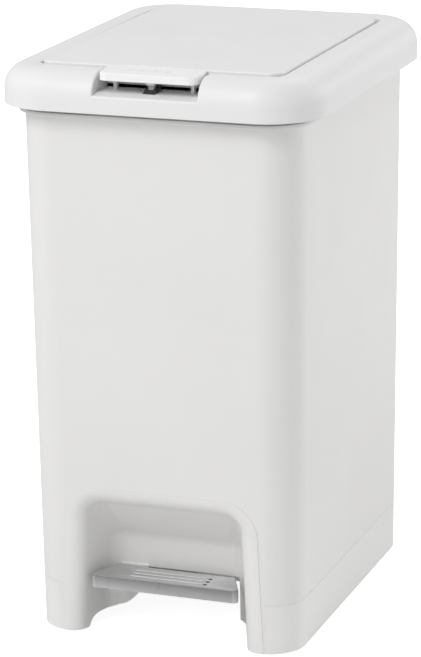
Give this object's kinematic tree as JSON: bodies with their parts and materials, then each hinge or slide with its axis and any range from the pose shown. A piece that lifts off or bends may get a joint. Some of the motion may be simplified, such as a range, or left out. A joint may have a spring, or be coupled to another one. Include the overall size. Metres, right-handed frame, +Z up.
{
  "type": "pedal bin",
  "caption": "Tall free-standing plastic waste bin whose hinged flap opens by a foot pedal and push rod or by a push tab on the lid frame.",
  "frame": {"origin": "on the floor, under the centre of the lid", "axes": "+Z up, -Y towards the front with the pedal, +X to the right as seen from the front"},
  "size_m": [0.324, 0.402, 0.575],
  "materials": {
    "white_body": "satin moulded polypropylene, slightly warm white",
    "white_lid": "satin moulded polypropylene, neutral white",
    "white_small": "satin moulded white plastic",
    "grey_pedal": "satin moulded mid-grey plastic",
    "dark_latch": "satin black-grey acetal",
    "inner_grey": "satin light grey acetal",
    "zinc_steel": "bright zinc-plated steel",
    "spring_steel": "drawn spring wire",
    "foot_rubber": "matte dark grey rubber"
  },
  "bodies": {
    "bin": {"bin_body": "white_body", "rubber_feet": "foot_rubber", "frame_hinge_pins": "zinc_steel", "pedal_axle": "zinc_steel", "axle_caps": "inner_grey", "axle_brackets": "inner_grey", "bracket_screws": "zinc_steel", "rod_cover": "white_body", "cover_screws": "zinc_steel", "rod_guides": "inner_grey"},
    "pedal": {"pedal_plate": "grey_pedal", "pedal_lever": "zinc_steel", "pedal_screws": "zinc_steel", "lever_pad": "inner_grey"},
    "lift_rod": {"push_rod": "zinc_steel", "rod_foot": "inner_grey", "rod_head": "white_small"},
    "frame": {"lid_frame": "white_lid", "flap_hinge_pins": "zinc_steel", "tab_stop_posts": "white_small", "latch_housing": "dark_latch", "latch_screws": "zinc_steel", "latch_spring": "spring_steel"},
    "flap": {"flap_panel": "white_lid", "crank_bracket": "white_small", "crank_screws": "zinc_steel", "crank_pin": "zinc_steel", "crank_shoe": "inner_grey", "tab_springs": "spring_steel"},
    "tab": {"push_tab": "white_lid", "striker": "white_small"},
    "plunger": {"latch_plunger": "inner_grey"}
  },
  "joints": [
    {"name": "flap_hinge", "type": "hinge", "parent": "frame", "child": "flap", "pos_m": [0, 0.1471, 0.569], "axis": [-1, 0, 0], "range_deg": [0, 80]},
    {"name": "frame_hinge", "type": "hinge", "parent": "bin", "child": "frame", "pos_m": [0, 0.1965, 0.536], "axis": [-1, 0, 0], "range_deg": [0, 70]},
    {"name": "pedal_hinge", "type": "hinge", "parent": "bin", "child": "pedal", "pos_m": [0, 0.04, 0.027], "axis": [1, 0, 0], "range_deg": [0, 10.74]},
    {"name": "rod_lift", "type": "slide", "parent": "bin", "child": "lift_rod", "axis": [0, 0, 1], "range_m": [0, 0.02571]},
    {"name": "tab_press", "type": "slide", "parent": "flap", "child": "tab", "axis": [0, 0, -1], "range_m": [0, 0.003], "stiffness_N_per_m": 250, "springref_m": -0.008, "deforming": ["tab_springs"]},
    {"name": "latch_press", "type": "slide", "parent": "frame", "child": "plunger", "axis": [0, 0, -1], "range_m": [0, 0.003], "deforming": ["latch_spring"]}
  ],
  "couplings": [
    {"joint": "pedal_hinge", "follows": "flap_hinge", "ratio": 0.13421},
    {"joint": "rod_lift", "follows": "flap_hinge", "m_per_rad": 0.018411},
    {"joint": "latch_press", "follows": "tab_press", "ratio": 1}
  ]
}
